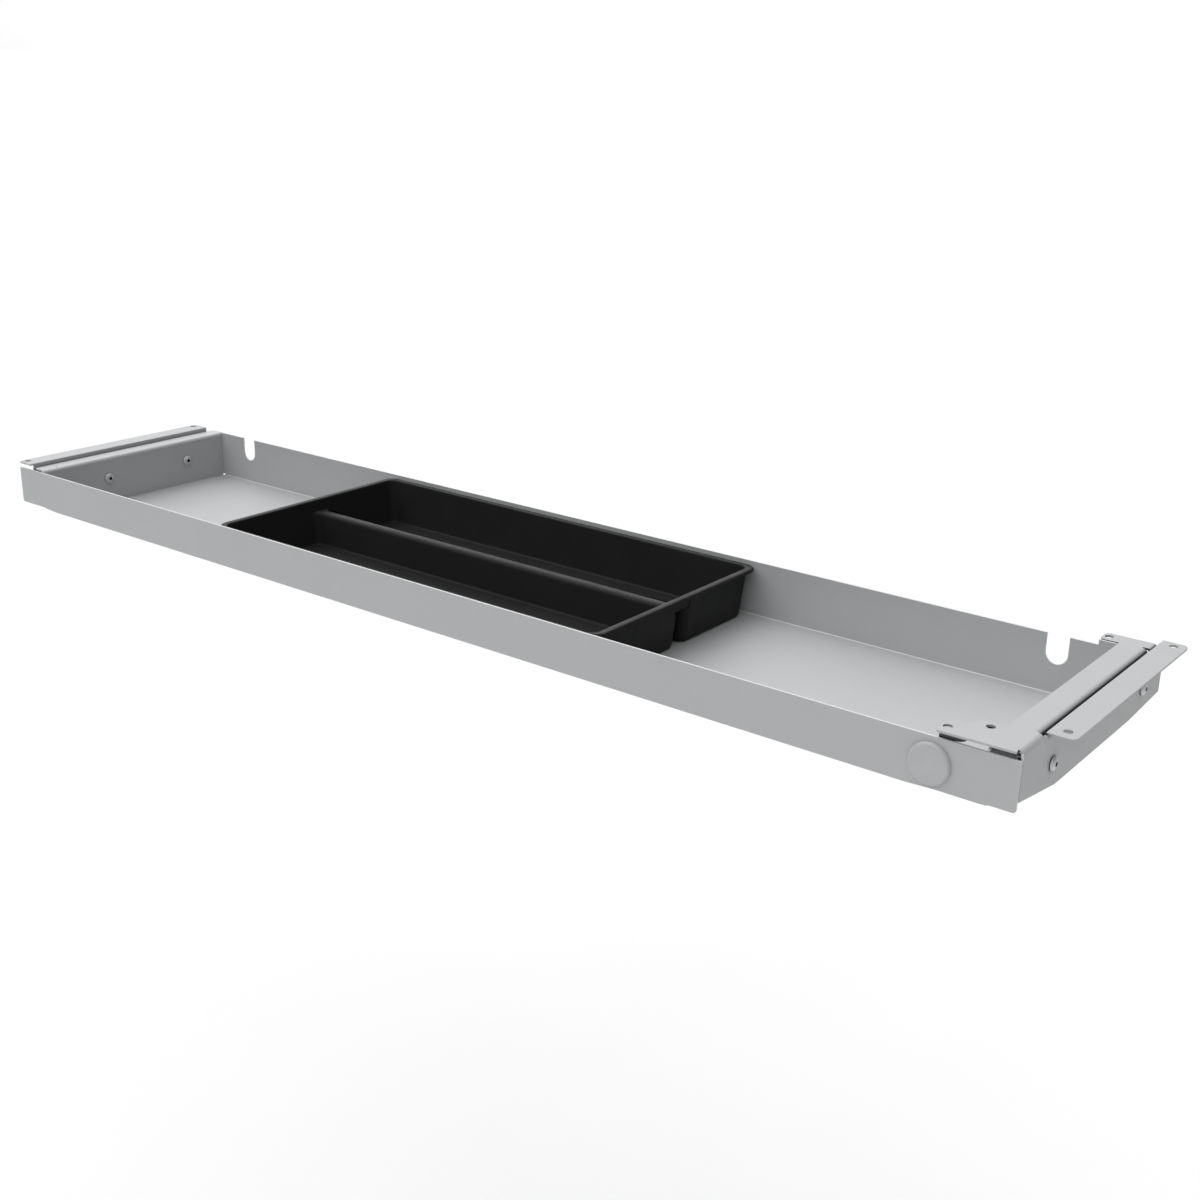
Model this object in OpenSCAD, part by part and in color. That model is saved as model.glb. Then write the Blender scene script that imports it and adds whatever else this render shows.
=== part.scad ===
// Pen drawer that hangs under a desk top.
// Frame: origin on the desk's underside, midway along the front face of the
// front panel. +X to the user's right, +Y away from the user, +Z up.

/* [Front panel] */
// Width of the front panel
panel_w = 1000; // [700:10:1200]
// Height of the front panel at its ends
panel_h = 33.2; // [31:0.1:36]
// How much lower the panel is between its ends
panel_dip = 1.6; // [0:0.1:3]
// Gap between the desk and the panel's top edge
panel_gap = 5.8; // [4:0.1:8]

/* [Tray] */
// Inside depth of the tray, from the panel's back to the rear wall
tray_y = 210; // [210:1:240]
// Depth of the tray floor's top face below the desk
floor_z = 48; // [46:0.5:60]
// Depth of the side walls' top edge below the desk
rim_z = 4; // [3.5:0.5:6]
// Width of the U-shaped cable notches in the rear wall
notch_w = 16.8; // [12:0.2:24]
// Depth of the cable notches
notch_d = 22; // [14:1:30]
// Distance of a cable notch from the tray's side wall
notch_in = 42; // [30:1:80]

/* [Sheet metal] */
// Thickness of the tray, panel and bracket sheets
t = 1.5; // [1:0.1:1.8]
// Width of the brackets' flanges under the desk
flange_w = 18.4; // [17:0.2:25]
// Radius of the desk screw holes in the flanges
hole_r = 3; // [2:0.25:3.5]
// Radius of the desk screw holes in the top plate
plate_hole_r = 3; // [2:0.25:3]
// Spacing of the two holes in the left flange
left_pitch = 192.5; // [150:0.5:193]
// Spacing of the two holes in the right flange
right_pitch = 184; // [150:1:185]

/* [Slides] */
// Closed length of the slides
slide_l = 200; // [190:1:205]
// Height of the slides
slide_h = 27; // [27:0.5:28]
// Distance ring between a slide and the tray's side wall
ring_l = 3.5; // [3:0.5:6]
// Number of balls in each row of a cage
ball_n = 8; // [4:1:9]

/* [Cap] */
// Radius of the round cap on the front panel
cap_r = 14.1; // [11:0.1:14.5]
// Thickness of the cap
cap_t = 3.2; // [2:0.1:5]
// Distance of the cap from the panel's right end
cap_in = 56.4; // [50:0.2:60]

/* [Pen tray] */
// Width of the pen tray over its rim
pen_w = 407.5; // [300:0.5:420]
// Depth of the pen tray over its rim
pen_d = 207.5; // [200:0.5:207.5]
// Where the pen tray's left rim stands, from the middle of the panel
pen_x = -218.5; // [-300:0.5:-180]
// Depth of the ridge between the bins below the rim
ridge_drop = 10.2; // [6:0.2:16]

/* [Hidden] */
$fn = 48;

hw = panel_w / 2;            // half the panel's width
slide_t = 12;                // thickness of a slide
px_top = -panel_gap;         // z of the panel's top edge
px_bot = px_top - panel_h;   // z of the panel's bottom edge at its ends
lw_in = -hw + 18.5;          // left bracket web, face towards the slide
rw_in = hw - 4.5;            // right inner web, face towards the slide
tl_out = lw_in + slide_t + ring_l;   // tray's left wall, outer face
tl_in = tl_out + t;
tr_out = rw_in - slide_t - ring_l;   // tray's right wall, outer face
tr_in = tr_out - t;
fz = -floor_z;               // floor's top face
sz = -24.4;                  // height of the slides' middle
ly0 = 4;                     // front end of the left slide
ry0 = 34;                    // front end of the right slide
cab_y = [15.7, 169];         // cabinet member's screws, from the slide's front
dra_y = [67.3, 160];         // drawer member's screws, from the slide's front
slope_y = 23;                // where the floor's sloped front part ends
lug_x0 = hw - 36;            // stop lug on the rear wall
lug_x1 = hw - 23.5;
strip_x = hw - 22.9;         // left edge of the top plate's strip
wx = rw_in + t;              // right inner web, face towards the outer wall
br_bot = -41.5;              // lowest edge of the brackets
hv = slide_h / 2;

grey = [0.72, 0.73, 0.73];
steel = [0.62, 0.63, 0.65];
black = [0.09, 0.09, 0.09];

// ---------- helpers ----------
// extrude an X-Z outline along Y from y0 to y1
module along_y(y0, y1) { translate([0, y1, 0]) rotate([90, 0, 0]) linear_extrude(y1 - y0) children(); }
// extrude a Y-Z outline along X from x0 to x1
module along_x(x0, x1) { translate([x0, 0, 0]) rotate([90, 0, 90]) linear_extrude(x1 - x0) children(); }
// a quarter ring, the section of a bend; a is the angle where it starts
module bend(cx, cz, r, th, a) {
    translate([cx, cz]) rotate(a) intersection() {
        difference() { circle(r, $fn = 64); circle(r - th, $fn = 64); }
        square(r + 1);
    }
}
// a rectangle with four corner radii, [low left, low right, high right, high left]
module rrect(x0, y0, x1, y1, r) {
    difference() {
        translate([x0, y0]) square([x1 - x0, y1 - y0]);
        if (r[0] > 0) corner(x0, y0, r[0], 0);
        if (r[1] > 0) corner(x1, y0, r[1], 90);
        if (r[2] > 0) corner(x1, y1, r[2], 180);
        if (r[3] > 0) corner(x0, y1, r[3], 270);
    }
}
module corner(x, y, r, a) {
    translate([x, y]) rotate(a) difference() {
        translate([-1, -1]) square(r + 1);
        translate([r, r]) circle(r, $fn = 48);
    }
}
// a hole along X
module xhole(x0, x1, y, z, r) { translate([x0, y, z]) rotate([0, 90, 0]) cylinder(h = x1 - x0, r = r); }

// button-head socket screw along +X, its head's seat at the origin
module screw(l) {
    difference() {
        union() {
            rotate([0, 90, 0]) cylinder(h = l, r = 2.5);
            rotate([0, -90, 0]) intersection() {
                cylinder(h = 2.75, r = 4.75);
                translate([0, 0, -2.9]) sphere(r = 5.65, $fn = 64);
            }
        }
        translate([-2.85, 0, 0]) rotate([0, 90, 0]) cylinder(h = 1.8, r = 1.75, $fn = 6);
    }
}

// ---------- slide members ----------
// u runs from the cabinet side (0) to the drawer side (slide_t); s mirrors it
module place(side, y0) {
    if (side == "left") translate([lw_in, y0, sz]) children();
    else translate([rw_in, y0, sz]) mirror([1, 0, 0]) children();
}
module chan(u0, u1, h, th, y0, y1) {
    along_y(y0, y1) difference() {
        rrect(u0, -h, u1, h, [1, 0, 0, 1]);
        translate([u0 + th, -h + th]) square([u1 - u0, 2 * h - 2 * th]);
    }
}
module chan_r(u0, u1, h, th, y0, y1) {
    along_y(y0, y1) difference() {
        rrect(u0, -h, u1, h, [0, 1, 1, 0]);
        translate([u0 - 1, -h + th]) square([u1 - u0 + 1 - th, 2 * h - 2 * th]);
    }
}
module m_outer() {
    difference() {
        chan(0, 9, hv, 1.2, 0, slide_l);
        for (y = cab_y) xhole(-1, 2, y, 0, 2.7);
        // slotted hole between the screws
        hull() for (dy = [-6, 6]) xhole(-1, 2, slide_l / 2 + dy, 0, 2.4);
    }
}
module m_middle() {
    difference() {
        chan(3.6, 9.4, hv - 4, 1, 1, slide_l - 4);
        for (y = [40, slide_l - 45]) xhole(3, 5, y, 0, 3);
    }
}
module m_inner() {
    difference() {
        chan_r(6.4, slide_t, hv - 7.4, 1.2, 0, slide_l - 4);
        for (y = dra_y) xhole(slide_t - 2, slide_t + 1, y, 0, 2.7);
        for (y = [20, slide_l - 16]) xhole(slide_t - 2, slide_t + 1, y, 0, 2);
    }
}
cage_y0 = 56;
cage_l = 100;
function ball_y(i) = cage_y0 + cage_l / 2 + (i - (ball_n - 1) / 2) * 12;
module m_outer_cage() {
    difference() {
        chan(2.6, 8.6, hv - 2.3, 0.6, cage_y0, cage_y0 + cage_l);
        for (i = [0:ball_n - 1]) translate([7, ball_y(i), -hv]) cylinder(h = slide_h, r = 1.35, $fn = 24);
        translate([2, cage_y0 + 8, -hv + 5]) cube([2, cage_l - 16, slide_h - 10]);
    }
}
module m_outer_balls() {
    for (i = [0:ball_n - 1], s = [-1, 1])
        translate([7, ball_y(i), s * (hv - 2.6)]) sphere(r = 1.2, $fn = 24);
}
module m_inner_cage() {
    difference() {
        chan(5.2, 9.2, hv - 5.9, 0.6, cage_y0, cage_y0 + cage_l);
        for (i = [0:ball_n - 1]) translate([7.6, ball_y(i), -hv]) cylinder(h = slide_h, r = 1.15, $fn = 24);
        translate([4.6, cage_y0 + 8, -hv + 8.5]) cube([2, cage_l - 16, slide_h - 17]);
    }
}
module m_inner_balls() {
    for (i = [0:ball_n - 1], s = [-1, 1])
        translate([7.6, ball_y(i), s * (hv - 6.2)]) sphere(r = 1, $fn = 24);
}
module m_stop() {
    along_y(slide_l - 3, slide_l) rrect(1.2, -hv + 1.2, 10.4, hv - 1.2, [0, 2, 2, 0]);
}
module m_outer_nuts() {
    for (y = cab_y) difference() { xhole(1.2, 2.3, y, 0, 4); xhole(0, 4, y, 0, 2.55); }
}
module m_inner_nuts() {
    for (y = dra_y) difference() { xhole(slide_t - 3.2, slide_t - 1.2, y, 0, 4); xhole(slide_t - 5, slide_t, y, 0, 2.55); }
}
module m_rings() {
    for (y = dra_y) difference() { xhole(slide_t, slide_t + ring_l, y, 0, 5.5); xhole(slide_t - 1, slide_t + ring_l + 1, y, 0, 2.7); }
}
module m_drawer_screws() {
    for (y = dra_y) translate([slide_t + ring_l + t, y, 0]) mirror([1, 0, 0]) screw(ring_l + t + 3.2);
}
// gap is the sheet between the screw heads and the slide
module m_bracket_screws(gap) { for (y = cab_y) translate([-gap, y, 0]) screw(gap + 2.3); }

module left_slide_outer() color(steel) place("left", ly0) m_outer();
module right_slide_outer() color(steel) place("right", ry0) m_outer();
module left_slide_middle() color(steel) place("left", ly0) m_middle();
module right_slide_middle() color(steel) place("right", ry0) m_middle();
module left_slide_inner() color(steel) place("left", ly0) m_inner();
module right_slide_inner() color(steel) place("right", ry0) m_inner();
module left_outer_cage() color("khaki") place("left", ly0) m_outer_cage();
module right_outer_cage() color("khaki") place("right", ry0) m_outer_cage();
module left_inner_cage() color("khaki") place("left", ly0) m_inner_cage();
module right_inner_cage() color("khaki") place("right", ry0) m_inner_cage();
module left_outer_balls() color("silver") place("left", ly0) m_outer_balls();
module right_outer_balls() color("silver") place("right", ry0) m_outer_balls();
module left_inner_balls() color("silver") place("left", ly0) m_inner_balls();
module right_inner_balls() color("silver") place("right", ry0) m_inner_balls();
module left_end_stop() color(black) place("left", ly0) m_stop();
module right_end_stop() color(black) place("right", ry0) m_stop();
module left_outer_nuts() color(steel) place("left", ly0) m_outer_nuts();
module right_outer_nuts() color(steel) place("right", ry0) m_outer_nuts();
module left_inner_nuts() color(steel) place("left", ly0) m_inner_nuts();
module right_inner_nuts() color(steel) place("right", ry0) m_inner_nuts();
module left_spacers() color(steel) place("left", ly0) m_rings();
module right_spacers() color(steel) place("right", ry0) m_rings();
module left_drawer_screws() color(grey) place("left", ly0) m_drawer_screws();
module right_drawer_screws() color(grey) place("right", ry0) m_drawer_screws();
module left_bracket_screws() color(grey) place("left", ly0) m_bracket_screws(t);
module right_bracket_screws() color(grey) place("right", ry0) m_bracket_screws(hw - rw_in);
// rings between the right inner web and the outer wall
module right_bracket_washers() color(steel) place("right", ry0)
    for (y = cab_y) difference() { xhole(t - hw + rw_in, rw_in - wx, y, 0, 4.5); xhole(t - hw + rw_in - 1, rw_in - wx + 1, y, 0, 2.7); }

// ---------- brackets ----------
lb_y1 = 204;
module left_bracket() color(grey) {
    x1 = lw_in;          // web's inner face, under the flange's fold
    x0 = x1 - flange_w;  // flange's free edge
    hx = x0 + 5.4;
    difference() {
        union() {
            along_x(x1 - t, x1) polygon([[2.8, -t], [lb_y1, -t], [lb_y1, br_bot + 5], [lb_y1 - 40, br_bot],
                [58, br_bot], [2.8, br_bot + 8.5]]);
            along_y(-0.8, lb_y1) rrect(x1 - 3, -t, x1, 0, [0, 0, 0.8, 0]);
            translate([0, 0, -t]) linear_extrude(t) rrect(x0, -0.8, x1 - 3, lb_y1, [3, 0, 0, 4]);
        }
        for (y = [5.4, 5.4 + left_pitch]) translate([hx, y, -t - 1]) cylinder(h = t + 2, r = hole_r);
        for (y = cab_y) xhole(x1 - t - 1, x1 + 1, ly0 + y, sz, 2.7);
    }
}

rf_y0 = 36.4;
rf_y1 = 237.4;
rw_y1 = 239;
ear_y1 = 32.6;
module right_bracket() color(grey) {
    x1 = hw;          // wall's outer face
    difference() {
        union() {
            // outer wall with cut lower corners
            along_x(x1 - t, x1) polygon([[2.8, -4], [ear_y1, -4], [ear_y1, -5], [ear_y1 + 1.1, -5], [ear_y1 + 1.1, -t], [rf_y1, -t],
                [rf_y1, -7], [rw_y1 - 2, -7], [rw_y1, -9], [rw_y1, br_bot + 3.5], [182, br_bot], [58, br_bot], [2.8, br_bot + 8.5]]);
            // flange, folded outward
            along_y(rf_y0, rf_y1) rrect(x1 - t, -t, x1 + t, 0, [0, 0, 0, 0.6]);
            translate([0, 0, -t]) linear_extrude(t) rrect(x1 + t, rf_y0, x1 - t + flange_w, rf_y1, [0, 4, 5, 0]);
            // rolled corner that meets the top plate's front tab
            along_y(2.8, ear_y1) bend(x1 - 4, -4, 4, t, 0);
        }
        for (y = [46, 46 + right_pitch]) translate([x1 - t + flange_w - 8.4, y, -t - 1]) cylinder(h = t + 2, r = hole_r);
        for (y = cab_y) xhole(x1 - t - 1, x1 + 1, ry0 + y, sz, 2.7);
    }
}

// front tab, strip and rear tab with the slide's web folded down from the strip
function arc(cx, cy, r, a0, a1, n) = [for (i = [0:n]) [cx + r * cos(a0 + (a1 - a0) * i / n), cy + r * sin(a0 + (a1 - a0) * i / n)]];
module right_top_plate() color(grey) {
    x = hw;
    rl = 4.5;            // radius of the rolled edge
    tabx = x - 53.8;     // free end of the front tab
    rtx = x - 36.8;      // free end of the rear tab
    difference() {
        union() {
            translate([0, 0, -t]) linear_extrude(t) polygon(concat(
                arc(tabx + 2.5, 0.3, 2.5, 180, 264, 6),
                [[x - 3.6, -1], [x - 3.3, -0.6], [x - 3.3, 1], [x - 4, 2.8]],
                [[x - 4, ear_y1 + 1]], [[wx - rl, ear_y1 + 1]],
                [[wx - rl, 215]], [[x - 4, 215]], [[x - 4, 227]],
                arc(rtx + 3.6, 223.4, 3.6, 90, 180, 8), arc(rtx + 3.6, 216.2, 3.6, 180, 266, 6),
                [[strip_x, 212.5]],
                arc(strip_x - 2, 32.3, 2, 0, -90, 5),
                arc(x - 33, 21.8, 9, 78, 140, 6),
                arc(x - 45.8, 26, 8, 310, 262, 5),
                arc(tabx + 4, 13.2, 4, 90, 180, 6)));
            // rear ear, turned down inside the outer wall
            along_y(215, 227) bend(x - 4, -2.3, 2.3, t, 0);
            along_x(x - 1.7 - t, x - 1.7) translate([215, -8.2]) square([12, 6]);
            // rolled edge and web
            along_y(ear_y1 + 0.6, 214) bend(wx - rl, -rl, rl, t, 0);
            along_x(rw_in, wx) polygon([[ear_y1 + 0.6, -rl], [214, -rl], [214, -8], [235, -8], [235, -36.8], [182, -40.8], [58, -40.8], [ear_y1 + 0.6, -37.4]]);
            // lip that hangs under the free end of the front tab
            along_y(2.3, 3.8) polygon([[tabx + 0.6, -1], [tabx + 0.6, -6.3], [x - 47, -6.3], [x - 42.4, -6.1],
                [x - 39.4, -5.6], [x - 37, -4.8], [x - 35.8, -4], [x - 35.8, -1]]);
        }
        translate([x - 50.2, 7, -t - 1]) cylinder(h = t + 2, r = plate_hole_r);
        translate([x - 30.1, 23, -t - 1]) cylinder(h = t + 2, r = plate_hole_r);
        translate([x - 32.6, 219.9, -t - 1]) cylinder(h = t + 2, r = plate_hole_r);
        for (y = cab_y) xhole(rw_in - 1, wx + 1, ry0 + y, sz, 2.7);
    }
}
// pad stuck under the top plate, behind its front tab; the drawer's lug stops on it
module stop_bumper() color(black) {
    translate([0, 0, -5]) linear_extrude(5 - t) rrect(hw - 34, 26.4, hw - 26, 31.6, [1, 1, 1, 1]);
}

// ---------- drawer ----------
cap_x = hw - cap_in;
cap_z = px_top - 17.9;
rb = 2.2;                    // radius of the bend between floor and rear wall
// corner reliefs, the slide screws' holes and a pilot hole in the left flange
module tray_cuts() {
    for (y = dra_y) {
        xhole(tl_out - 1, tl_in + 1, ly0 + y, sz, 2.7);
        xhole(tr_in - 1, tr_out + 1, ry0 + y, sz, 2.7);
    }
    translate([tl_in - 5, 19, -rim_z - t - 1]) cylinder(h = t + 2, r = 1);
    for (x = [tl_in + 0.6, tr_in - 0.6]) translate([x, tray_y - 0.8, fz - t - 1]) cylinder(h = 4, r = 1.5);
}
// floor with the start of its rear bend
module drawer_tray() color(grey) difference() {
    along_x(tl_in, tr_in) polygon([[slope_y, fz - t], [tray_y + t - rb, fz - t], [tray_y + t - rb, fz], [slope_y + 0.3, fz]]);
    tray_cuts();
}
// bend and rear wall with the cable notches and a raised lug at its right end
module rear_wall() color(grey) difference() {
    union() {
        along_x(tl_in, tr_in) bend(tray_y + t - rb, fz - t + rb, rb, t, 270);
        along_x(tl_out, tr_out) translate([tray_y, fz - t + rb]) square([t, -rim_z - fz + t - rb]);
        translate([lug_x0, tray_y, -rim_z - 1]) cube([lug_x1 - lug_x0, t, rim_z + 1 - 0.3]);
    }
    for (x = [tl_in + notch_in, tr_in - notch_in - 1]) {
        translate([x - notch_w / 2, tray_y - 1, -rim_z - notch_d + notch_w / 2]) cube([notch_w, t + 2, notch_d]);
        translate([x, tray_y - 1, -rim_z - notch_d + notch_w / 2]) rotate([-90, 0, 0]) cylinder(h = t + 2, r = notch_w / 2);
    }
    tray_cuts();
}
function side_pts(z) = [[1.6, z], [tray_y - 0.4, z], [tray_y - 0.4, fz - t], [slope_y, fz - t], [1.6, px_bot - panel_dip]];
// left wall with its outward flange
module left_side_wall() color(grey) {
    rl = 3;
    difference() {
        union() {
            along_x(tl_out, tl_in) polygon(side_pts(-rim_z - rl));
            along_y(1.6, tray_y - 0.4) bend(tl_in - rl, -rim_z - rl, rl, t, 0);
            translate([0, 0, -rim_z - t]) linear_extrude(t) rrect(tl_in - 15.6, 3, tl_in - rl, tray_y + t, [2, 0, 0, 2]);
        }
        tray_cuts();
    }
}
module right_side_wall() color(grey) difference() {
    along_x(tr_in, tr_out) polygon(side_pts(-rim_z));
    tray_cuts();
}
// sloped front part of the floor and the upstand behind the panel
module front_fold() color(grey) difference() {
    along_x(tl_in, tr_in) polygon([[slope_y, fz - t], [slope_y + 0.3, fz], [3.1, px_bot - panel_dip + t + 0.6],
        [3.1, px_top - 15], [1.6, px_top - 15], [1.6, px_bot - panel_dip]]);
    // room for the cap's clip
    translate([cap_x, 0, cap_z]) rotate([-90, 0, 0]) cylinder(h = 5, r = 13);
}
module front_panel() color(grey) {
    difference() {
        translate([0, t, 0]) rotate([90, 0, 0]) linear_extrude(t) difference() {
            polygon([[-hw, px_top], [-hw, px_bot], [-hw + 32, px_bot], [-hw + 52, px_bot - panel_dip],
                [hw - 71, px_bot - panel_dip], [hw - 35, px_bot], [hw, px_bot], [hw, px_top]]);
            corner(-hw, px_bot, 2, 0);
            corner(hw, px_bot, 2, 90);
        }
        translate([cap_x, -1, cap_z]) rotate([-90, 0, 0]) cylinder(h = t + 2, r = 8.2);
    }
}
module lock_hole_cap() color(grey) {
    translate([cap_x, 0, cap_z]) rotate([90, 0, 0]) {
        rotate_extrude($fn = 96) difference() {
            translate([0, 0]) square([cap_r, cap_t]);
            translate([cap_r, cap_t]) rotate(180) difference() {
                translate([-1, -1]) square(2.4 + 1);
                translate([2.4, 2.4]) circle(2.4, $fn = 48);
            }
        }
        translate([0, 0, -5.5]) cylinder(h = 6, r = 8);
    }
}
module cap_clip() color(black) {
    translate([cap_x, t, cap_z]) rotate([-90, 0, 0]) difference() {
        cylinder(h = 2.2, r = 11.5);
        translate([0, 0, -1]) cylinder(h = 4, r = 8.05);
    }
}

// ---------- pen tray ----------
rim_top = -panel_gap - 1;
pen_y = 1.9;
px1 = pen_x + pen_w;
py1 = pen_y + pen_d;
mid_y = pen_y + 111.1;       // middle of the ridge
module slab(x0, y0, x1, y1, r, z) {
    translate([0, 0, z]) linear_extrude(0.01)
        hull() for (p = [[x0 + r, y0 + r], [x1 - r, y0 + r], [x1 - r, y1 - r], [x0 + r, y1 - r]]) translate(p) circle(r, $fn = 32);
}
// a tapered bin: the upper outline, the lower outline and their heights
module taper(a, b, ra, rb, z1, z0) {
    hull() {
        slab(a[0], a[1], a[2], a[3], ra, z1 - 0.01);
        slab(b[0] + 1.5, b[1] + 1.5, b[2] - 1.5, b[3] - 1.5, rb, z0);
        slab(b[0], b[1], b[2], b[3], rb, z0 + 2);
    }
}
module pen_tray() color(black) {
    w = 2;
    ft = [pen_x + 4.5, pen_y + 1, px1 - 4.3, mid_y - 3];
    fb = [pen_x + 9.5, pen_y + 23.6, px1 - 8.2, mid_y - 4.4];
    rt = [pen_x + 4.5, mid_y + 3, px1 - 4.3, py1 - 4.2];
    rb = [pen_x + 9.5, mid_y + 4.4, px1 - 8.2, py1 - 8];
    zr = rim_top - ridge_drop;
    difference() {
        union() {
            taper(ft, fb, 9, 8, rim_top - 1, fz);
            taper(rt, rb, 9, 8, rim_top - 1, fz);
            // rim
            translate([0, 0, rim_top - 3.2]) linear_extrude(3.2) rrect(pen_x, pen_y, px1, py1, [10.5, 10.5, 10.5, 10.5]);
            // ridge
            translate([pen_x + 6, mid_y - 5.5, zr - 9]) cube([pen_w - 12, 11, 9]);
            // end walls that join the bins beside the ridge
            for (x = [pen_x + 5.3, px1 - 7.1]) translate([x, mid_y - 12, zr - 9]) cube([2, 24, rim_top - 3 - zr + 9]);
        }
        // bins
        taper([ft[0] + w, ft[1] + w, ft[2] - w, ft[3] - w], [fb[0] + w, fb[1] + w, fb[2] - w, fb[3] - w], 8, 7, rim_top + 1, fz + w);
        taper([rt[0] + w, rt[1] + w, rt[2] - w, rt[3] - w], [rb[0] + w, rb[1] + w, rb[2] - w, rb[3] - w], 8, 7, rim_top + 1, fz + w);
        // the ridge is lower than the rim
        translate([pen_x + 7.3, mid_y - 9, zr]) cube([pen_w - 14.4, 18, ridge_drop + 1]);
    }
}

left_bracket();
right_bracket();
right_top_plate();
left_slide_outer();
right_slide_outer();
left_bracket_screws();
right_bracket_screws();
right_bracket_washers();
left_outer_nuts();
right_outer_nuts();
left_end_stop();
right_end_stop();
left_slide_middle();
right_slide_middle();
left_outer_cage();
right_outer_cage();
left_outer_balls();
right_outer_balls();
left_inner_cage();
right_inner_cage();
left_inner_balls();
right_inner_balls();
drawer_tray();
rear_wall();
left_side_wall();
right_side_wall();
front_fold();
front_panel();
left_slide_inner();
right_slide_inner();
left_drawer_screws();
right_drawer_screws();
left_spacers();
right_spacers();
left_inner_nuts();
right_inner_nuts();
lock_hole_cap();
cap_clip();
stop_bumper();
pen_tray();
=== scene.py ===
import math

import bmesh
import bpy
from mathutils import Matrix, Vector


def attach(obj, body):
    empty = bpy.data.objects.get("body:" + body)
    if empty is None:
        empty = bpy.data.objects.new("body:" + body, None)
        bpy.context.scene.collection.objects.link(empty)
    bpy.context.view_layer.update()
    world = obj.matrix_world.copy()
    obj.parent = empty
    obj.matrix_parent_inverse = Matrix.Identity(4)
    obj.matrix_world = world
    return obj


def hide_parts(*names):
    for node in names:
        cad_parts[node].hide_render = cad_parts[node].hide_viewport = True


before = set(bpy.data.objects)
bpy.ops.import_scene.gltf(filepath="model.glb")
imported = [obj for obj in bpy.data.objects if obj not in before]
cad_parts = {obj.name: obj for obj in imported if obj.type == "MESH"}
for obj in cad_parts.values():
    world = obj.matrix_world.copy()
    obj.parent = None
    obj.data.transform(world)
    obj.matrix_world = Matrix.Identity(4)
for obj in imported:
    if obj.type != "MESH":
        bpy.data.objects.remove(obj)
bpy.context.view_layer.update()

MM = 0.001

# ---------------------------------------------------------------- dimensions
PANEL_W = 1000.0
HW = PANEL_W / 2
GAP = 5.8
PX_TOP = -GAP
FZ = -48.0
SZ = -24.4
T = 1.5
LW_IN = -HW + 18.5
RW_IN = HW - 4.5
SLIDE_T = 12.0
RING = 3.5
TL_OUT = LW_IN + SLIDE_T + RING
TL_IN = TL_OUT + T
TR_OUT = RW_IN - SLIDE_T - RING
TR_IN = TR_OUT - T
LY0, RY0 = 4.0, 34.0
CAB_Y = [15.7, 169.0]
DRA_Y = [67.3, 160.0]
CAP_X, CAP_Z, CAP_R, CAP_T = HW - 56.4, PX_TOP - 17.9, 14.1, 3.2
PEN_X, PEN_Y, PEN_W, PEN_D = -218.5, 1.9, 407.5, 207.5
MID_Y = PEN_Y + 111.1
RIM = PX_TOP - 1.0
RIDGE = RIM - 10.2


# ---------------------------------------------------------------- helpers
def link(name, bm, body, mat, smooth=40.0, replace=()):
    """Turns a bmesh in millimetres into a piece that rides on a body."""
    bmesh.ops.recalc_face_normals(bm, faces=bm.faces)
    for v in bm.verts:
        v.co *= MM
    me = bpy.data.meshes.new(name)
    for f in bm.faces:
        f.smooth = True
    lim = math.radians(smooth)
    for e in bm.edges:
        if len(e.link_faces) == 2 and e.calc_face_angle(0.0) > lim:
            e.smooth = False
    bm.to_mesh(me)
    bm.free()
    ob = bpy.data.objects.new(name, me)
    bpy.context.scene.collection.objects.link(ob)
    me.materials.append(mat)
    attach(ob, body)
    if replace:
        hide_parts(*replace)
    return ob


def lathe(bm, prof, place, seg=64):
    """Turns (radius, height) points about +Z; place maps to the row frame."""
    rings = []
    for r, h in prof:
        if r < 1e-6:
            rings.append([bm.verts.new(place @ Vector((0, 0, h)))])
        else:
            rings.append([bm.verts.new(place @ Vector((r * math.cos(2 * math.pi * i / seg),
                                                       r * math.sin(2 * math.pi * i / seg), h)))
                          for i in range(seg)])
    for a, b in zip(rings, rings[1:]):
        for i in range(seg):
            j = (i + 1) % seg
            if len(a) == 1:
                bm.faces.new((a[0], b[i], b[j]))
            elif len(b) == 1:
                bm.faces.new((a[i], b[0], a[j]))
            else:
                bm.faces.new((a[i], b[i], b[j], a[j]))
    return rings


def arc_pts(cx, cy, r, a0, a1, n):
    return [(cx + r * math.cos(math.radians(a0 + (a1 - a0) * i / n)),
             cy + r * math.sin(math.radians(a0 + (a1 - a0) * i / n))) for i in range(n + 1)]


# ---------------------------------------------------------------- materials
def nodes_of(mat):
    mat.use_nodes = True
    nt = mat.node_tree
    nt.nodes.clear()
    out = nt.nodes.new("ShaderNodeOutputMaterial")
    bsdf = nt.nodes.new("ShaderNodeBsdfPrincipled")
    nt.links.new(bsdf.outputs[0], out.inputs[0])
    coord = nt.nodes.new("ShaderNodeTexCoord")
    return nt, bsdf, coord.outputs["Object"]


def noise(nt, vec, scale, detail=2.0, rough=0.5, stretch=None):
    if stretch:
        m = nt.nodes.new("ShaderNodeMapping")
        m.inputs["Scale"].default_value = stretch
        nt.links.new(vec, m.inputs["Vector"])
        vec = m.outputs[0]
    n = nt.nodes.new("ShaderNodeTexNoise")
    n.inputs["Scale"].default_value = scale
    n.inputs["Detail"].default_value = detail
    n.inputs["Roughness"].default_value = rough
    nt.links.new(vec, n.inputs["Vector"])
    return n.outputs["Fac"]


def ramp(nt, fac, stops):
    r = nt.nodes.new("ShaderNodeValToRGB")
    el = r.color_ramp.elements
    while len(el) < len(stops):
        el.new(0.5)
    for e, (p, c) in zip(el, stops):
        e.position = p
        e.color = (*c, 1.0) if len(c) == 3 else c
    nt.links.new(fac, r.inputs[0])
    return r.outputs[0]


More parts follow.
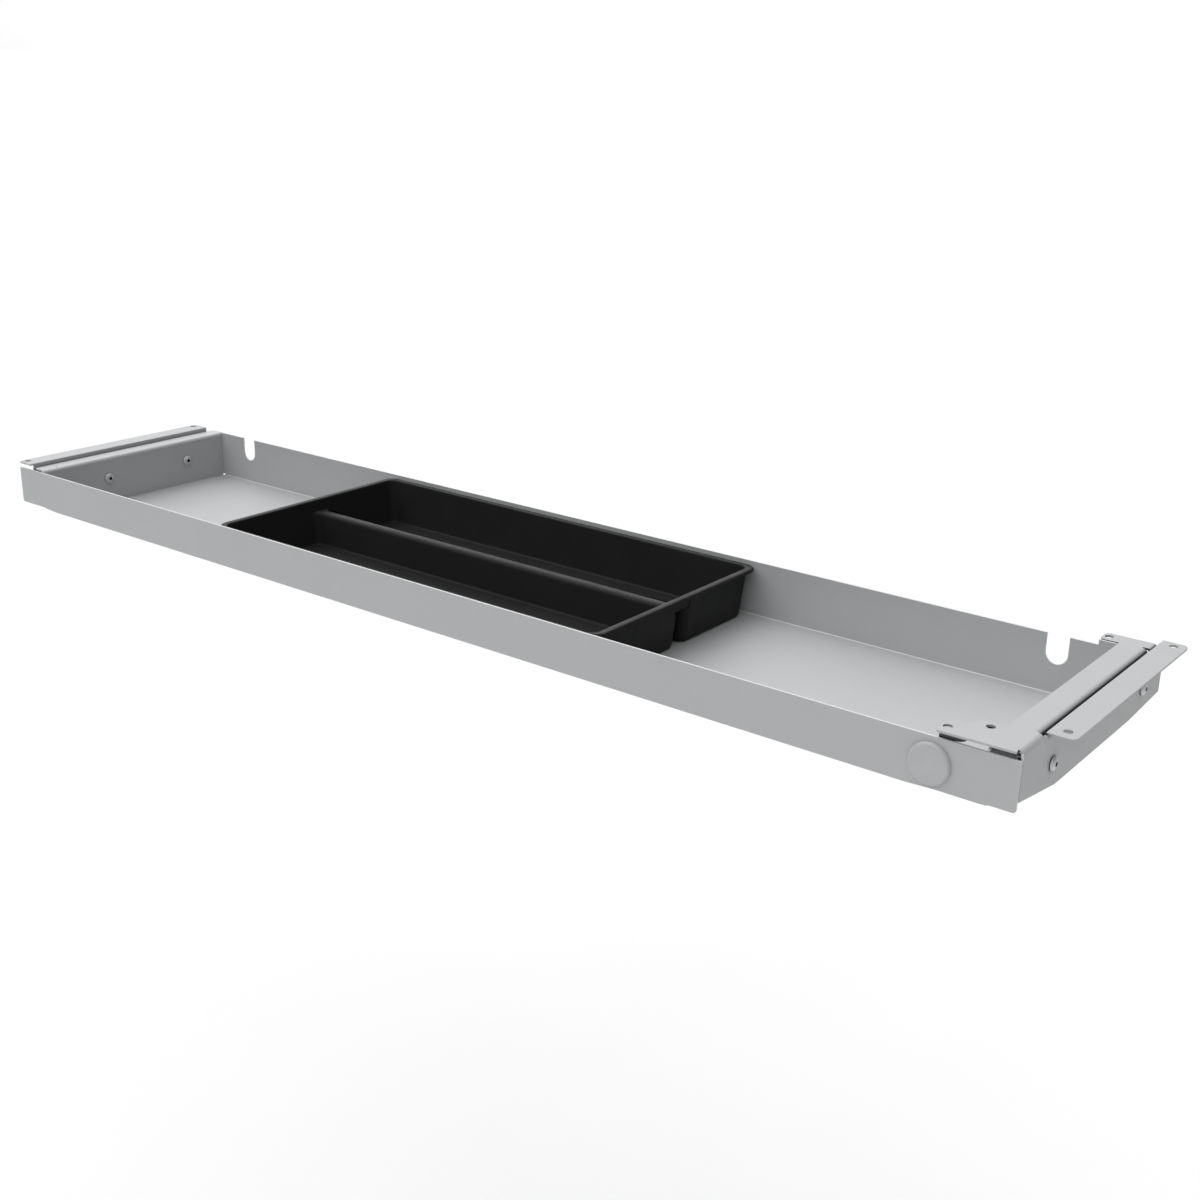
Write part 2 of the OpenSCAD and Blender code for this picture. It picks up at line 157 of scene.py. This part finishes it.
def math_node(nt, op, a, b):
    m = nt.nodes.new("ShaderNodeMath")
    m.operation = op
    for i, v in enumerate((a, b)):
        if hasattr(v, "is_linked"):
            nt.links.new(v, m.inputs[i])
        else:
            m.inputs[i].default_value = v
    return m.outputs[0]


def bump(nt, bsdf, height, strength, dist, prev=None):
    b = nt.nodes.new("ShaderNodeBump")
    b.inputs["Strength"].default_value = strength
    b.inputs["Distance"].default_value = dist
    nt.links.new(height, b.inputs["Height"])
    if prev is not None:
        nt.links.new(prev, b.inputs["Normal"])
    nt.links.new(b.outputs[0], bsdf.inputs["Normal"])
    return b.outputs[0]


def shade(c, k):
    return tuple(max(0.0, min(1.0, v * k)) for v in c)


def powder_coat(name, base, rough=0.5, slot_shade_reach=0.0):
    mat = bpy.data.materials.new(name)
    nt, bsdf, vec = nodes_of(mat)
    # slow mottling of the coat and a fine speckle
    slow = noise(nt, vec, 9.0, 3.0, 0.55)
    fine = noise(nt, vec, 900.0, 2.0, 0.6)
    mix = nt.nodes.new("ShaderNodeMix")
    mix.data_type = "RGBA"
    mix.inputs["Factor"].default_value = 0.35
    nt.links.new(ramp(nt, slow, [(0.3, shade(base, 0.975)), (0.7, shade(base, 1.02))]), mix.inputs["A"])
    nt.links.new(ramp(nt, fine, [(0.35, shade(base, 0.96)), (0.65, shade(base, 1.035))]), mix.inputs["B"])
    colour = mix.outputs["Result"]
    if slot_shade_reach > 0:
        # painted shade: an ambient occlusion node darkens the coat colour in the slot between the two pressings
        ao = nt.nodes.new("ShaderNodeAmbientOcclusion")
        ao.samples = 12
        ao.inputs["Distance"].default_value = slot_shade_reach
        painted_shade_mix = nt.nodes.new("ShaderNodeMix")
        painted_shade_mix.data_type = "RGBA"
        painted_shade_mix.blend_type = "MULTIPLY"
        painted_shade_mix.inputs["Factor"].default_value = 1.0
        nt.links.new(colour, painted_shade_mix.inputs["A"])
        nt.links.new(ramp(nt, ao.outputs["AO"], [(0.58, (0.04, 0.04, 0.04)), (0.97, (1.0, 1.0, 1.0))]), painted_shade_mix.inputs["B"])
        colour = painted_shade_mix.outputs["Result"]
    nt.links.new(colour, bsdf.inputs["Base Color"])
    r = ramp(nt, noise(nt, vec, 35.0, 3.0), [(0.3, (rough - 0.04,) * 3), (0.7, (rough + 0.05,) * 3)])
    nt.links.new(r, bsdf.inputs["Roughness"])
    b = bump(nt, bsdf, noise(nt, vec, 1100.0, 3.0, 0.6), 0.10, 0.0002)
    bump(nt, bsdf, noise(nt, vec, 260.0, 1.0), 0.06, 0.0004, b)
    bsdf.inputs["Specular IOR Level"].default_value = 0.45
    return mat


def zinc(name, base, rough, grain=(1.0, 1.0, 1.0), metallic=1.0):
    mat = bpy.data.materials.new(name)
    nt, bsdf, vec = nodes_of(mat)
    n = noise(nt, vec, 160.0, 4.0, 0.65, grain)
    nt.links.new(ramp(nt, n, [(0.25, shade(base, 0.86)), (0.55, base), (0.8, shade(base, 1.1))]), bsdf.inputs["Base Color"])
    r = ramp(nt, noise(nt, vec, 420.0, 3.0, 0.6, grain), [(0.3, (rough - 0.07,) * 3), (0.7, (rough + 0.1,) * 3)])
    nt.links.new(r, bsdf.inputs["Roughness"])
    bump(nt, bsdf, noise(nt, vec, 1400.0, 2.0, 0.5, grain), 0.08, 0.0002)
    bsdf.inputs["Metallic"].default_value = metallic
    return mat


def moulded(name, base, rough, texture=0.12, spec=0.5):
    mat = bpy.data.materials.new(name)
    nt, bsdf, vec = nodes_of(mat)
    n = noise(nt, vec, 24.0, 3.0)
    nt.links.new(ramp(nt, n, [(0.3, shade(base, 0.93)), (0.7, shade(base, 1.08))]), bsdf.inputs["Base Color"])
    r = ramp(nt, noise(nt, vec, 60.0, 3.0), [(0.3, (rough - 0.04,) * 3), (0.7, (rough + 0.05,) * 3)])
    nt.links.new(r, bsdf.inputs["Roughness"])
    bump(nt, bsdf, noise(nt, vec, 1500.0, 2.0, 0.55), texture, 0.0002)
    bsdf.inputs["Specular IOR Level"].default_value = spec
    return mat


COAT = powder_coat("coat_light_grey", (0.433, 0.441, 0.447), 0.5)
# a slightly darker copy of the coat with painted shade in the slot, on the right bracket and the right top plate
SLOT_SHADED_COAT = powder_coat("coat_with_painted_slot_shade", (0.418, 0.426, 0.432), 0.5, 0.005)
# a lighter copy of the coat on the tray's walls: painted light where the inner walls get too little
LIGHTENED_WALL_COAT = powder_coat("coat_lightened_on_tray_walls", (0.480, 0.489, 0.495), 0.5)
# a lighter copy of the coat: painted highlight on the sheets' cut edges and bends
EDGE_HIGHLIGHT_COAT = powder_coat("coat_painted_edge_highlight", (0.62, 0.626, 0.632), 0.45)
CAPM = moulded("cap_grey_plastic", (0.42, 0.426, 0.43), 0.5, 0.05)
ZINC = zinc("slide_zinc", (0.58, 0.59, 0.60), 0.34, (1.0, 0.08, 1.0))
NUTM = zinc("nut_zinc", (0.60, 0.60, 0.58), 0.38)
SCREW = zinc("screw_zinc", (0.59, 0.60, 0.605), 0.38, metallic=0.15)
# near black: painted shade inside the hex sockets
SOCKET_PAINTED_SHADE = zinc("screw_socket_painted_shade", (0.012, 0.012, 0.013), 0.6, metallic=0.0)
# dark grey: painted shadow around the base of the screw heads
RIM_PAINTED_SHADOW = zinc("screw_rim_painted_shadow", (0.15, 0.155, 0.16), 0.5, metallic=0.1)
CAGE = zinc("cage_strip", (0.52, 0.50, 0.44), 0.4, (1.0, 0.1, 1.0))
BALL = zinc("ball_steel", (0.72, 0.72, 0.73), 0.14)
RUBBER = moulded("black_rubber", (0.022, 0.022, 0.022), 0.7, 0.2, 0.3)
TRAYM = moulded("pen_tray_black", (0.0200, 0.0200, 0.0202), 0.45, 0.10, 0.09)


# ---------------------------------------------------------------- CAD nodes that stay
def keep(names, mat):
    for n in names:
        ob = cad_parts[n]
        ob.data.materials.clear()
        ob.data.materials.append(mat)
        for p in ob.data.polygons:
            p.material_index = 0


def keep_sheet(name, gets_painted_highlight, coat=COAT):
    """The coat on the faces and a slightly lighter one, a painted highlight, where the sheet is cut and, on the rear
    wall, along its bottom bend.
    """
    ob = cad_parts[name]
    ob.data.materials.clear()
    ob.data.materials.append(coat)
    ob.data.materials.append(EDGE_HIGHLIGHT_COAT)
    mw = ob.matrix_world
    rot = mw.to_3x3()
    for p in ob.data.polygons:
        n = (rot @ p.normal).normalized()
        c = (mw @ p.center) / MM
        p.material_index = 1 if gets_painted_highlight(n, c) else 0


keep_sheet("front_panel", lambda n, c: abs(n.y) < 0.5 and c.y < 1.55)
keep_sheet("rear_wall", lambda n, c: abs(n.y) < 0.5 and c.z > -40 or c.z < -47.2, LIGHTENED_WALL_COAT)
keep_sheet("left_side_wall", lambda n, c: abs(n.y) > 0.8, LIGHTENED_WALL_COAT)
keep_sheet("right_side_wall", lambda n, c: n.z > 0.8 or abs(n.y) > 0.8, LIGHTENED_WALL_COAT)
keep_sheet("left_bracket", lambda n, c: abs(n.y) > 0.8 and c.z < -2)
keep_sheet("right_bracket", lambda n, c: n.y < -0.8 and c.z < -2, SLOT_SHADED_COAT)
keep(["drawer_tray", "front_fold"], COAT)
keep(["right_top_plate"], SLOT_SHADED_COAT)
keep(["left_slide_outer", "right_slide_outer", "left_slide_middle", "right_slide_middle",
      "left_slide_inner", "right_slide_inner"], ZINC)
keep(["left_outer_nuts", "right_outer_nuts", "left_inner_nuts", "right_inner_nuts",
      "left_spacers", "right_spacers", "right_bracket_washers"], NUTM)
keep(["left_outer_cage", "right_outer_cage", "left_inner_cage", "right_inner_cage"], CAGE)
keep(["left_outer_balls", "right_outer_balls", "left_inner_balls", "right_inner_balls"], BALL)
keep(["left_end_stop", "right_end_stop", "stop_bumper", "cap_clip"], RUBBER)


# ---------------------------------------------------------------- screws
def button_head(bm, at, direction, length):
    """Button-head socket screw: its head's seat at `at`, its shank along direction."""
    d = Vector((direction, 0, 0))
    rot = Vector((0, 0, -1)).rotation_difference(d).to_matrix().to_4x4()
    place = Matrix.Translation(Vector(at)) @ rot
    hr, hh, hex_r, hex_d = 4.75, 2.75, 1.75, 1.7
    prof = [(0, -length), (2.0, -length), (2.5, -length + 0.5), (2.5, 0.0), (hr - 0.3, 0.0), (hr, 0.3), (hr, 0.55)]
    # domed top down to the rim of the socket
    n = 12
    for i in range(1, n + 1):
        a = math.radians(8 + 56 * i / n)
        prof.append((0.30 + (hr - 0.30) * math.cos(a) / math.cos(math.radians(8)),
                     0.55 + (hh - 0.55) * math.sin(a) / math.sin(math.radians(64))))
    top = prof[-1][1]
    seg = 48
    rings = lathe(bm, prof, place, seg)
    last = rings[-1]
    # painted shadow: the lower rim of each head takes the dark rim material
    for f in bm.faces:
        heights = [(place.inverted() @ v.co).z for v in f.verts]
        if f.material_index == 0 and min(heights) > -0.01 and max(heights) < 0.95 and \
                min((place.inverted() @ v.co).xy.length for v in f.verts) > hr - 0.7 and \
                max((place.inverted() @ v.co).xy.length for v in f.verts) < hr + 0.1:
            f.material_index = 2
    # hexagonal socket: a ring of points on the hexagon at the top and at its bottom
    ring_r = hex_r * 1.12

    def hexring(r, z):
        out = []
        for i in range(seg):
            a = 2 * math.pi * i / seg
            k = math.cos(math.pi / 6) / math.cos((a % (math.pi / 3)) - math.pi / 6)
            out.append(bm.verts.new(place @ Vector((r * k * math.cos(a), r * k * math.sin(a), z))))
        return out
    rounds = [[bm.verts.new(place @ Vector((ring_r * math.cos(2 * math.pi * i / seg), ring_r * math.sin(2 * math.pi * i / seg), top)))
               for i in range(seg)], hexring(hex_r + 0.1, top), hexring(hex_r, top - 0.12), hexring(hex_r, top - hex_d)]
    seq = [last] + rounds
    # the socket's walls and bottom take the near-black material: painted shade in the recess
    for k, (a, b) in enumerate(zip(seq, seq[1:])):
        for i in range(seg):
            j = (i + 1) % seg
            bm.faces.new((a[i], b[i], b[j], a[j])).material_index = 1 if k > 1 else 0
    tip = bm.verts.new(place @ Vector((0, 0, top - hex_d - 0.5)))
    for i in range(seg):
        bm.faces.new((rounds[-1][i], tip, rounds[-1][(i + 1) % seg])).material_index = 1


def screws(name, node, body, seats, direction, length):
    bm = bmesh.new()
    for s in seats:
        button_head(bm, s, direction, length)
    ob = link(name, bm, body, SCREW, 35.0, [node])
    ob.data.materials.append(SOCKET_PAINTED_SHADE)
    ob.data.materials.append(RIM_PAINTED_SHADOW)


screws("left_drawer_screw_pair", "left_drawer_screws", "drawer",
       [(TL_IN, LY0 + y, SZ) for y in DRA_Y], -1, RING + T + 3.2)
screws("right_drawer_screw_pair", "right_drawer_screws", "drawer",
       [(TR_IN, RY0 + y, SZ) for y in DRA_Y], 1, RING + T + 3.2)
screws("left_bracket_screw_pair", "left_bracket_screws", "fixed_frame",
       [(LW_IN - T, LY0 + y, SZ) for y in CAB_Y], 1, T + 2.3)
screws("right_bracket_screw_pair", "right_bracket_screws", "fixed_frame",
       [(HW, RY0 + y, SZ) for y in CAB_Y], -1, HW - RW_IN + 2.3)

# ---------------------------------------------------------------- cap over the lock position
bm = bmesh.new()
place = Matrix.Translation((CAP_X, 0, CAP_Z)) @ Matrix.Rotation(math.radians(90), 4, "X")
prof = [(0, -5.5), (7.6, -5.5), (8.0, -5.1), (8.0, 0.0), (CAP_R - 0.15, 0.0), (CAP_R, 0.15)]
R = 2.4
for i in range(13):
    a = math.radians(90 * i / 12)
    prof.append((CAP_R - R + R * math.cos(a), CAP_T - 0.12 - R + R * math.sin(a)))
for i in range(1, 7):
    r = (CAP_R - R) * (1 - i / 6)
    prof.append((r, CAP_T - 0.12 * (r / (CAP_R - R)) ** 2))
lathe(bm, prof, place, 96)
link("lock_position_cap", bm, "drawer", CAPM, 35.0, ["lock_hole_cap"])


# ---------------------------------------------------------------- pen tray
def pen_tray():
    x0, y0, x1, y1 = PEN_X, PEN_Y, PEN_X + PEN_W, PEN_Y + PEN_D
    bm = bmesh.new()
    NC, MC = 10, 10

    def lerp(a, b, t):
        return a + (b - a) * t

    # wall outlines at the rim and at the floor: [x0, y0, x1, y1]; w is the wall
    top = {"P": [x0 + 4.5, y0 + 1, x1 - 4.3, y1 - 4.2], "F": MID_Y - 3.0, "R": MID_Y + 3.0}
    bot = {"F": [x0 + 9.5, y0 + 23.6, x1 - 8.2, MID_Y - 4.4], "R": [x0 + 9.5, MID_Y + 4.4, x1 - 8.2, y1 - 8]}

    def outline(which, z, w):
        """The bin's or the perimeter's rectangle at height z, inset by the wall w."""
        t = (RIM - z) / (RIM - FZ)
        p = top["P"]
        if which == "P":
            r = [lerp(p[0], bot["F"][0], t), lerp(p[1], bot["F"][1], t), lerp(p[2], bot["F"][2], t), lerp(p[3], bot["R"][3], t)]
        elif which == "F":
            r = [lerp(p[0], bot["F"][0], t), lerp(p[1], bot["F"][1], t), lerp(p[2], bot["F"][2], t), lerp(top["F"], bot["F"][3], t)]
        else:
            r = [lerp(p[0], bot["R"][0], t), lerp(top["R"], bot["R"][1], t), lerp(p[2], bot["R"][2], t), lerp(p[3], bot["R"][3], t)]
        return [r[0] + w, r[1] + w, r[2] - w, r[3] - w]

    def ring(pts, z):
        return [bm.verts.new((x, y, z)) for x, y in pts]

    def bridge(a, b):
        n = len(a)
        for i in range(n):
            j = (i + 1) % n
            quad = []
            for v in (a[i], a[j], b[j], b[i]):
                if v not in quad:
                    quad.append(v)
            if len(quad) > 2:
                bm.faces.new(quad)

    def perimeter(r, c, ya, yb, dent=0.0):
        pts = arc_pts(r[0] + c, r[1] + c, c, 180, 270, NC) + arc_pts(r[2] - c, r[1] + c, c, 270, 360, NC)
        pts += [(r[2], ya), (r[2] - dent, ya + 1.6), (r[2] - dent, yb - 1.6), (r[2], yb)]
        pts += arc_pts(r[2] - c, r[3] - c, c, 0, 90, NC) + arc_pts(r[0] + c, r[3] - c, c, 90, 180, NC)
        pts += [(r[0], yb), (r[0] + dent, yb - 1.6), (r[0] + dent, ya + 1.6), (r[0], ya)]
        return pts

    def bin_pts(r, c, cr, front, push):
        """Front bin: ridge side at the rear. Rear bin: ridge side at the front."""
        if front:
            return (arc_pts(r[0] + c, r[1] + c, c, 180, 270, NC) + arc_pts(r[2] - c, r[1] + c, c, 270, 360, NC)
                    + [(x, y + push * math.sin(math.radians(90 * i / MC))) for i, (x, y) in enumerate(arc_pts(r[2] - cr, r[3] - cr, cr, 0, 90, MC))]
                    + [(x, y + push * math.cos(math.radians(90 * i / MC))) for i, (x, y) in enumerate(arc_pts(r[0] + cr, r[3] - cr, cr, 90, 180, MC))])
        return ([(x, y - push * math.sin(math.radians(90 * i / MC))) for i, (x, y) in enumerate(arc_pts(r[0] + cr, r[1] + cr, cr, 180, 270, MC))]
                + [(x, y - push * math.cos(math.radians(90 * i / MC))) for i, (x, y) in enumerate(arc_pts(r[2] - cr, r[1] + cr, cr, 270, 360, MC))]
                + arc_pts(r[2] - c, r[3] - c, c, 0, 90, NC) + arc_pts(r[0] + c, r[3] - c, c, 90, 180, NC))

    def surface(w, zr, rf, zbot, fil, c, cr, dent, z_start):
        """One side of the moulding from z_start down to its floor; returns the first perimeter ring."""
        f0 = outline("F", zr, w)
        r0 = outline("R", zr, w)
        ya, yb = f0[3] - cr, r0[1] + cr
        first = ring(perimeter(outline("P", z_start, w), c, ya, yb, dent), z_start)
        prev = first
        if z_start - zr > 3:
            zz = (z_start + zr) / 2
            cur = ring(perimeter(outline("P", zz, w), c, ya, yb, dent), zz)
            bridge(prev, cur)
            prev = cur
        base = ring(perimeter(outline("P", zr, w), c, ya, yb, dent), zr)
        bridge(prev, base)
        a = NC + 1
        # the bins' first rings share the perimeter's vertices
        fl, fr = base[0:a], base[a:2 * a]
        r_side = base[2 * a:2 * a + 4]
        rr, rl = base[2 * a + 4:3 * a + 4], base[3 * a + 4:4 * a + 4]
        l_side = base[4 * a + 4:4 * a + 8]
        fp = bin_pts(f0, c, cr, True, rf)
        rp = bin_pts(r0, c, cr, False, rf)
        m = MC + 1
        front = fl + fr
        inner_f = [None] * (2 * m)
        for i in range(2 * m):
            if i == 0:
                inner_f[i] = r_side[0]
            elif i == 2 * m - 1:
                inner_f[i] = l_side[3]
            else:
                inner_f[i] = bm.verts.new((*fp[2 * a + i], zr))
        front = front + inner_f
        inner_r = [None] * (2 * m)
        for i in range(2 * m):
            if i == 0:
                inner_r[i] = l_side[0]
            elif i == 2 * m - 1:
                inner_r[i] = r_side[3]
            else:
                inner_r[i] = bm.verts.new((*rp[i], zr))
        rear = inner_r + rr + rl
        # top of the ridge
        poly = r_side[:]
        poly += inner_r[::-1][1:]
        poly += l_side[1:]
        poly += inner_f[::-1][1:-1]
        bm.faces.new(poly)
        # rounded shoulder, wall, fillet and floor of each bin
        for is_front, start in ((True, front), (False, rear)):
            prev = start
            key = "F" if is_front else "R"
            for j in range(1, 7):
                th = math.radians(15 * j)
                z = zr - rf * (1 - math.cos(th))
                cur = ring(bin_pts(outline(key, z, w), c, cr, is_front, rf * (1 - math.sin(th))), z)
                bridge(prev, cur)
                prev = cur
            zf = zbot + fil
            for j in range(0, 7):
                th = math.radians(15 * j)
                z = zf - fil * math.sin(th)
                o = outline(key, zf - fil * math.sin(th) * 0.4, w)
                d = fil * (1 - math.cos(th))
                o = [o[0] + d, o[1] + d, o[2] - d, o[3] - d]
                cc = max(c - d, 1.5)
                cur = ring(bin_pts(o, cc, max(cr - d, 1.5), is_front, 0.0), z)
                bridge(prev, cur)
                prev = cur
            bm.faces.new(prev)
        return first, (ya, yb)

    w = 2.0
    inner, (ya, yb) = surface(w, RIDGE, 3.6, FZ + w, 2.0, 6.5, 6.5, 0.0, RIM - 1.6)
    outer, (oa, ob) = surface(0.0, RIDGE - 2.2, 1.2, FZ, 4.0, 8.5, 7.0, 1.1, RIM - 2.8)
    # the rim's section from the inner wall up, over and down to the outer wall
    pin = outline("P", RIM - 1.6, w)
    pout = outline("P", RIM - 2.8, 0.0)
    full = [x0, y0, x1, y1]

    def mix(a, b, t):
        return [lerp(p, q, t) for p, q in zip(a, b)]

    def inset(r, d):
        return [r[0] + d, r[1] + d, r[2] - d, r[3] - d]
    prev = inner
    # inner shoulder
    for j in range(1, 6):
        th = math.radians(18 * j)
        o = inset(pin, -1.2 * (1 - math.cos(th)))
        cur = ring(perimeter(o, 6.5 + 1.2 * (1 - math.cos(th)), ya, yb), RIM - 1.6 + 1.6 * math.sin(th))
        bridge(prev, cur)
        prev = cur
    # flat top and outer shoulder
    for j in range(0, 6):
        th = math.radians(18 * j)
        o = inset(full, 1.7 * (1 - math.sin(th)))
        cur = ring(perimeter(o, 10.5 - 1.7 * (1 - math.sin(th)), ya, yb), RIM - 1.9 * (1 - math.cos(th)))
        bridge(prev, cur)
        prev = cur
    for d, z in ((0.0, RIM - 2.4), (0.15, RIM - 2.65), (0.4, RIM - 2.8)):
        cur = ring(perimeter(inset(full, d), 10.5 - d, ya, yb), z)
        bridge(prev, cur)
        prev = cur
    bridge(prev, outer)
    link("pen_tray_moulding", bm, "pen_tray", TRAYM, 32.0, ["pen_tray"])


pen_tray()

# ---------------------------------------------------------------- floor, lights, camera
floor_z = -0.80
bm = bmesh.new()
s = 150.0
bm.faces.new([bm.verts.new(p) for p in ((-s, -s, floor_z), (s, -s, floor_z), (s, s, floor_z), (-s, s, floor_z))])
me = bpy.data.meshes.new("floor")
bm.to_mesh(me)
bm.free()
floor = bpy.data.objects.new("floor", me)
bpy.context.scene.collection.objects.link(floor)
fm = bpy.data.materials.new("floor_pale")
nt, bsdf, vec = nodes_of(fm)
nt.links.new(ramp(nt, noise(nt, vec, 3.0), [(0.3, (0.825, 0.825, 0.825)), (0.7, (0.835, 0.835, 0.835))]), bsdf.inputs["Base Color"])
bsdf.inputs["Roughness"].default_value = 0.9
bsdf.inputs["Specular IOR Level"].default_value = 0.1
me.materials.append(fm)

# a white room: a steady part and broad soft lobes, as (direction, power, gain)
LOBES = [((0.0, 0.0, 1.0), 4.0, 0.95), ((-0.70711, 0.0, 0.70711), 6.0, 1.05),
         ((-0.6, 0.35, 0.7194), 4.0, 0.80), ((0.0, -0.6, 0.8), 4.0, 1.35),
         ((-0.5, 0.8, 0.332), 3.0, 1.0), ((-0.52, 0.8542, 0.0), 8.0, 0.32)]
STEADY = 0.0
world = bpy.data.worlds.new("studio")
bpy.context.scene.world = world
world.use_nodes = True
wn = world.node_tree
bg = wn.nodes["Background"]
wc = wn.nodes.new("ShaderNodeTexCoord")


def lobe(direction, power, gain):
    d = wn.nodes.new("ShaderNodeVectorMath")
    d.operation = "DOT_PRODUCT"
    wn.links.new(wc.outputs["Generated"], d.inputs[0])
    d.inputs[1].default_value = direction
    facing = math_node(wn, "MAXIMUM", d.outputs["Value"], 0.0)
    return math_node(wn, "MULTIPLY", math_node(wn, "POWER", facing, power), gain)


total = STEADY
for direction, power, gain in LOBES:
    total = math_node(wn, "ADD", lobe(direction, power, gain), total)
bg.inputs[0].default_value = (1.0, 1.0, 1.0, 1.0)
wn.links.new(total, bg.inputs[1])

bpy.context.scene.view_settings.view_transform = "Standard"

cam_data = bpy.data.cameras.new("camera")
cam_data.sensor_fit = "HORIZONTAL"
cam_data.sensor_width = 36.0
cam_data.lens = 46.798
cam_data.clip_start = 0.05
cam_data.clip_end = 400.0
cam = bpy.data.objects.new("camera", cam_data)
bpy.context.scene.collection.objects.link(cam)
yaw, pitch, roll = 0.655078, 0.339312, 0.020076
fwd = Vector((-math.sin(yaw) * math.cos(pitch), math.cos(yaw) * math.cos(pitch), -math.sin(pitch)))
right = Vector((math.cos(yaw), math.sin(yaw), 0))
up = right.cross(fwd)
r2 = right * math.cos(roll) + up * math.sin(roll)
u2 = up * math.cos(roll) - right * math.sin(roll)
m = Matrix((r2, u2, -fwd)).transposed().to_4x4()
m.translation = Vector((0.80336, -0.79540, 0.37569))
cam.matrix_world = m
bpy.context.scene.camera = cam

bpy.context.view_layer.update()
